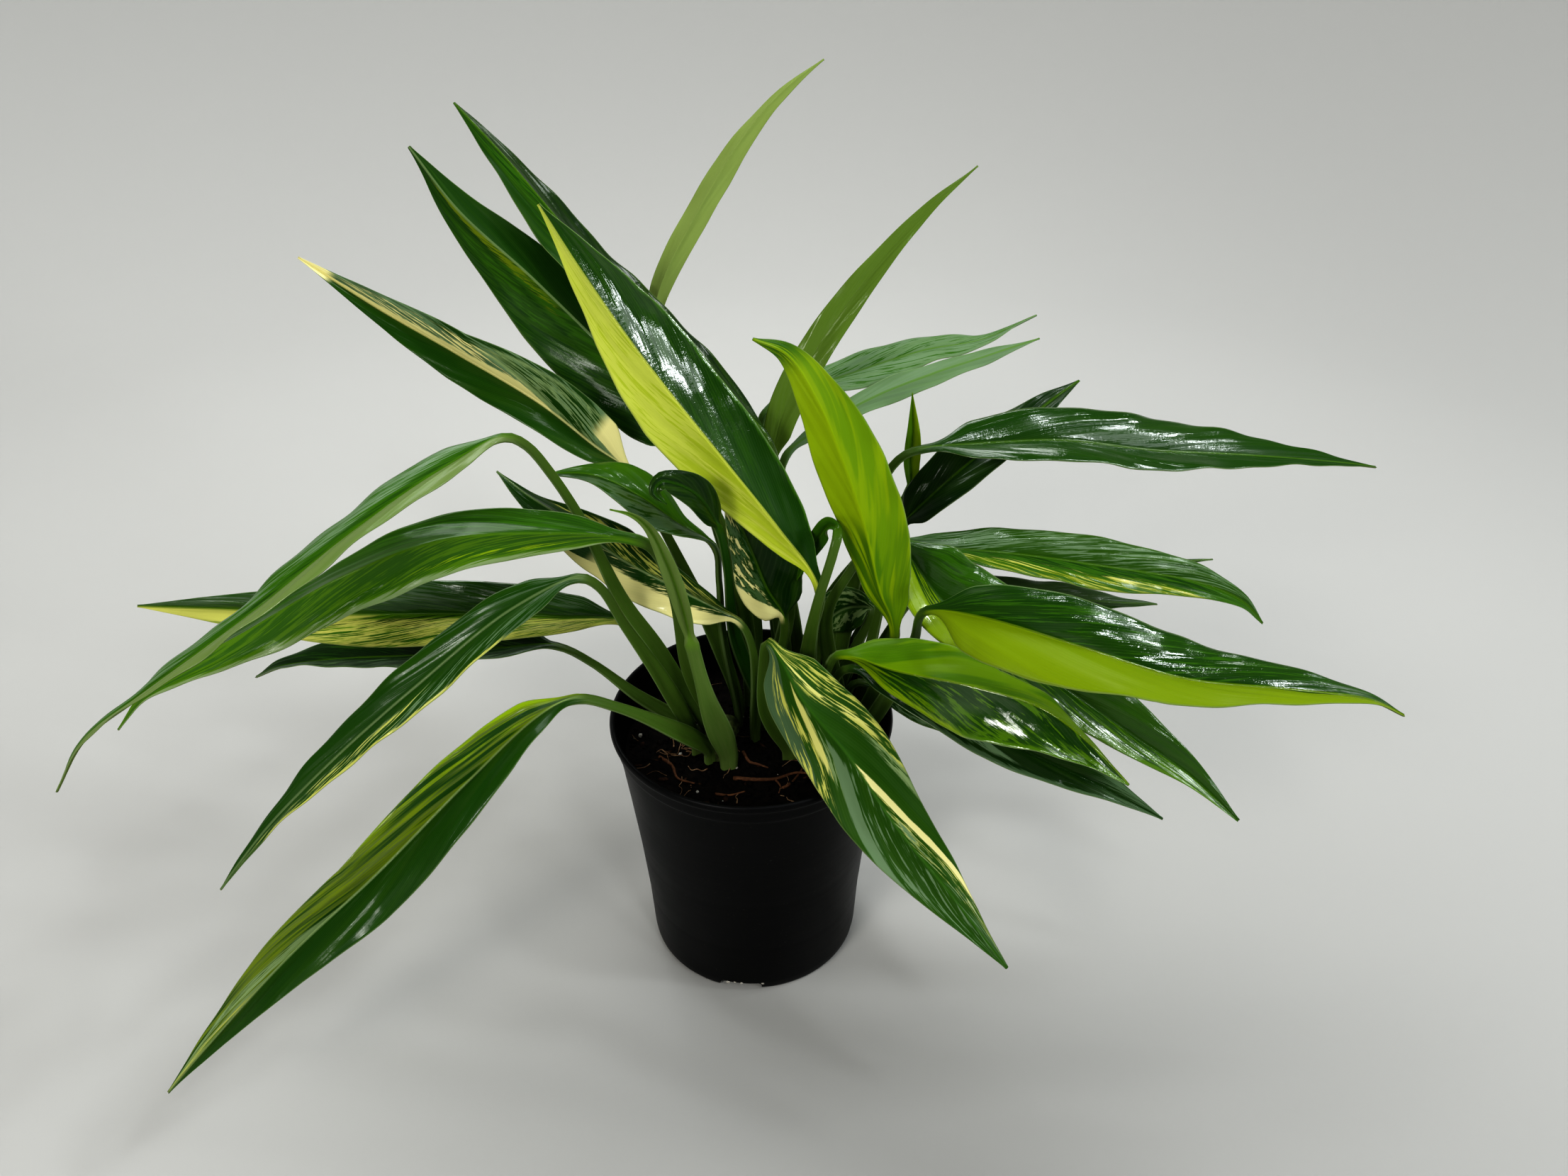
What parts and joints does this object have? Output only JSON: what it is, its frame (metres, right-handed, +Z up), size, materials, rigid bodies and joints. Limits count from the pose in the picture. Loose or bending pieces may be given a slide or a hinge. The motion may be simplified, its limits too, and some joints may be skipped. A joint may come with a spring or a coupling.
{
  "type": "potted pothos",
  "caption": "House plant with long pointed leaves, partly variegated, on slender stalks in a tapered round nursery pot.",
  "frame": {"origin": "centre of the pot's underside, on the surface that it stands on", "axes": "+Z up, front of the picture at -Y, leaves spread widest along X"},
  "size_m": [0.7194, 0.3578, 0.4936],
  "materials": {
    "pot_plastic": "satin black, faintly scuffed",
    "potting_mix": "moist, matt and crumbly",
    "leaf_dark": "glossy dark green blade",
    "leaf_green": "satin mid green blade",
    "leaf_lime": "satin lime blade, partly dark green",
    "leaf_striped": "satin green blade with cream stripes",
    "leaf_olive": "matt olive underside",
    "leaf_grey_green": "grey-green sheen",
    "leaf_pale": "pale green sheath"
  },
  "bodies": {
    "root": {"pot": "pot_plastic", "potting_mix": "potting_mix", "leaf_upper_1": "leaf_dark", "leaf_upper_2": "leaf_dark", "leaf_upper_3": "leaf_dark", "leaf_upper_4": "leaf_striped", "leaf_top_1": "leaf_olive", "leaf_top_2": "leaf_olive", "leaf_back_1": "leaf_grey_green", "leaf_back_2": "leaf_grey_green", "leaf_right_1": "leaf_dark", "leaf_right_2": "leaf_dark", "leaf_right_3": "leaf_lime", "leaf_right_4": "leaf_striped", "leaf_right_5": "leaf_dark", "leaf_right_6": "leaf_lime", "leaf_right_7": "leaf_dark", "leaf_right_8": "leaf_lime", "leaf_right_9": "leaf_lime", "leaf_right_10": "leaf_dark", "leaf_right_11": "leaf_dark", "leaf_front": "leaf_striped", "leaf_left_1": "leaf_green", "leaf_left_2": "leaf_green", "leaf_left_3": "leaf_striped", "leaf_left_4": "leaf_dark", "leaf_left_5": "leaf_dark", "leaf_left_6": "leaf_striped", "leaf_inner_1": "leaf_striped", "leaf_inner_2": "leaf_green", "leaf_inner_3": "leaf_dark", "leaf_inner_4": "leaf_striped", "leaf_inner_5": "leaf_striped", "leaf_inner_6": "leaf_green", "spike_back": "leaf_lime", "sheath_front": "leaf_pale"}
  },
  "joints": []
}
